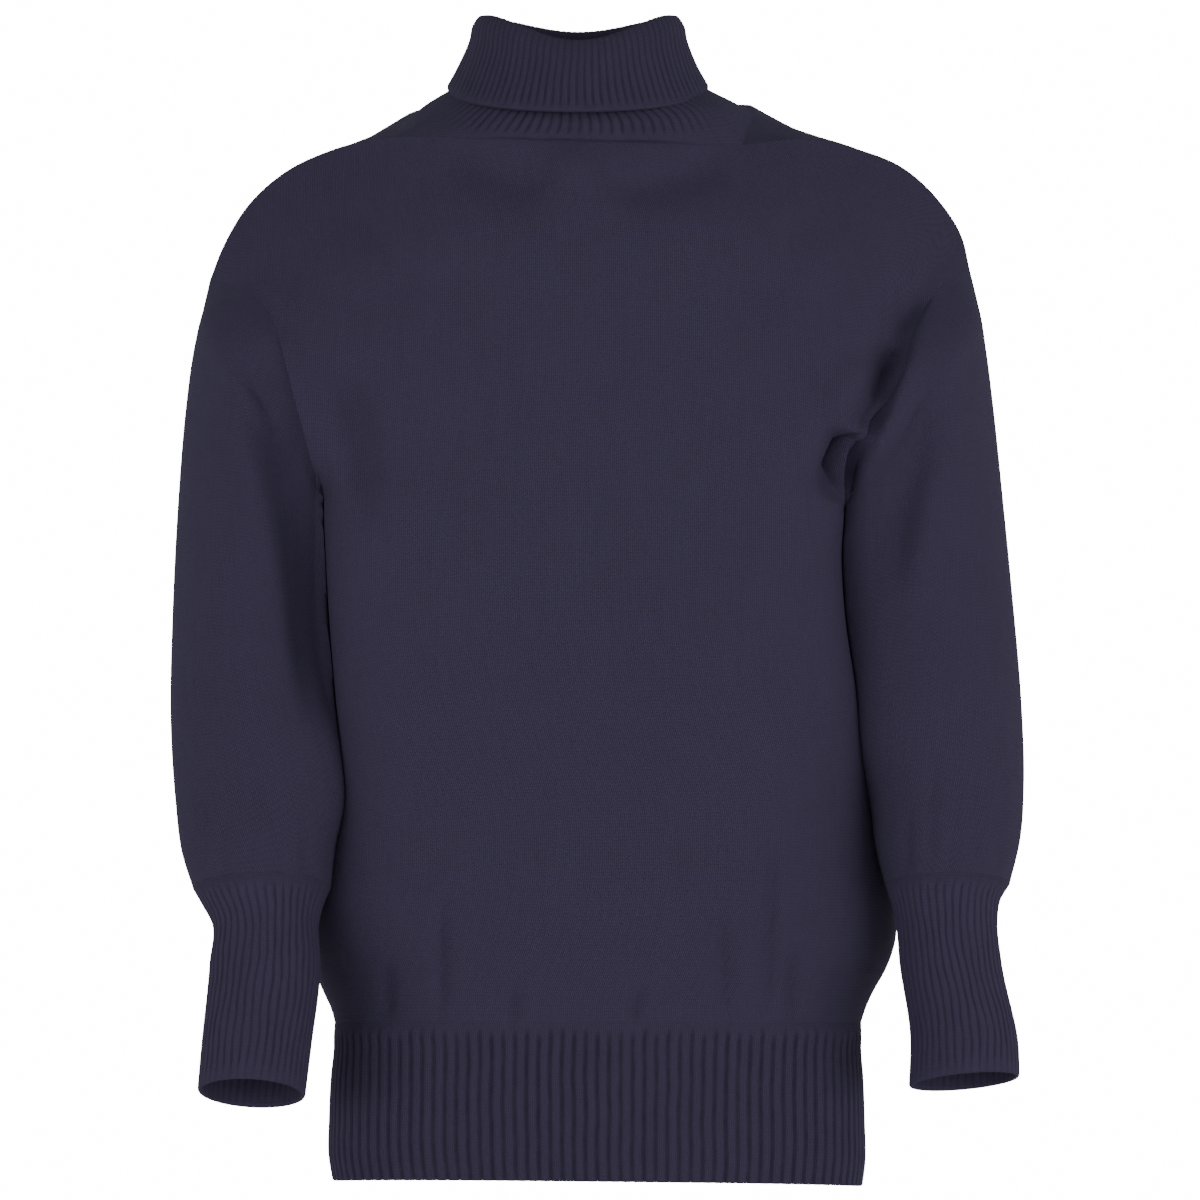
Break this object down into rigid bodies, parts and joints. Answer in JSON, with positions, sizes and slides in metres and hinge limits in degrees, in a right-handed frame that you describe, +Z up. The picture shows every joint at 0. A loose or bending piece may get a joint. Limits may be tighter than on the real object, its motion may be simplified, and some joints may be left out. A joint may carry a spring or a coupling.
{
  "type": "military roll-neck sweater",
  "caption": "Heavy wool roll-neck pullover with drop shoulders, long ribbed cuffs and a deep ribbed hem, hollow and filled out as if worn.",
  "frame": {"origin": "the middle of the neck, level with the points where the shoulders meet it, where the wearer holds the garment up", "axes": "+X to the wearer's left, +Y to the wearer's back, +Z up; the front faces -Y"},
  "size_m": [0.5503, 0.2796, 0.7586],
  "materials": {
    "front_body": "matt knitted wool, stocking stitch",
    "back_body": "matt knitted wool, stocking stitch",
    "front_hem_rib": "matt knitted wool, raised ribs",
    "back_hem_rib": "matt knitted wool, raised ribs",
    "right_sleeve": "matt knitted wool, stocking stitch",
    "left_sleeve": "matt knitted wool, stocking stitch",
    "right_cuff": "matt knitted wool, raised ribs",
    "left_cuff": "matt knitted wool, raised ribs",
    "roll_collar": "matt knitted wool, raised ribs"
  },
  "bodies": {
    "root": {"front_body": "front_body", "back_body": "back_body", "front_hem_rib": "front_hem_rib", "back_hem_rib": "back_hem_rib", "right_sleeve": "right_sleeve", "left_sleeve": "left_sleeve", "right_cuff": "right_cuff", "left_cuff": "left_cuff", "roll_collar": "roll_collar"}
  },
  "joints": []
}
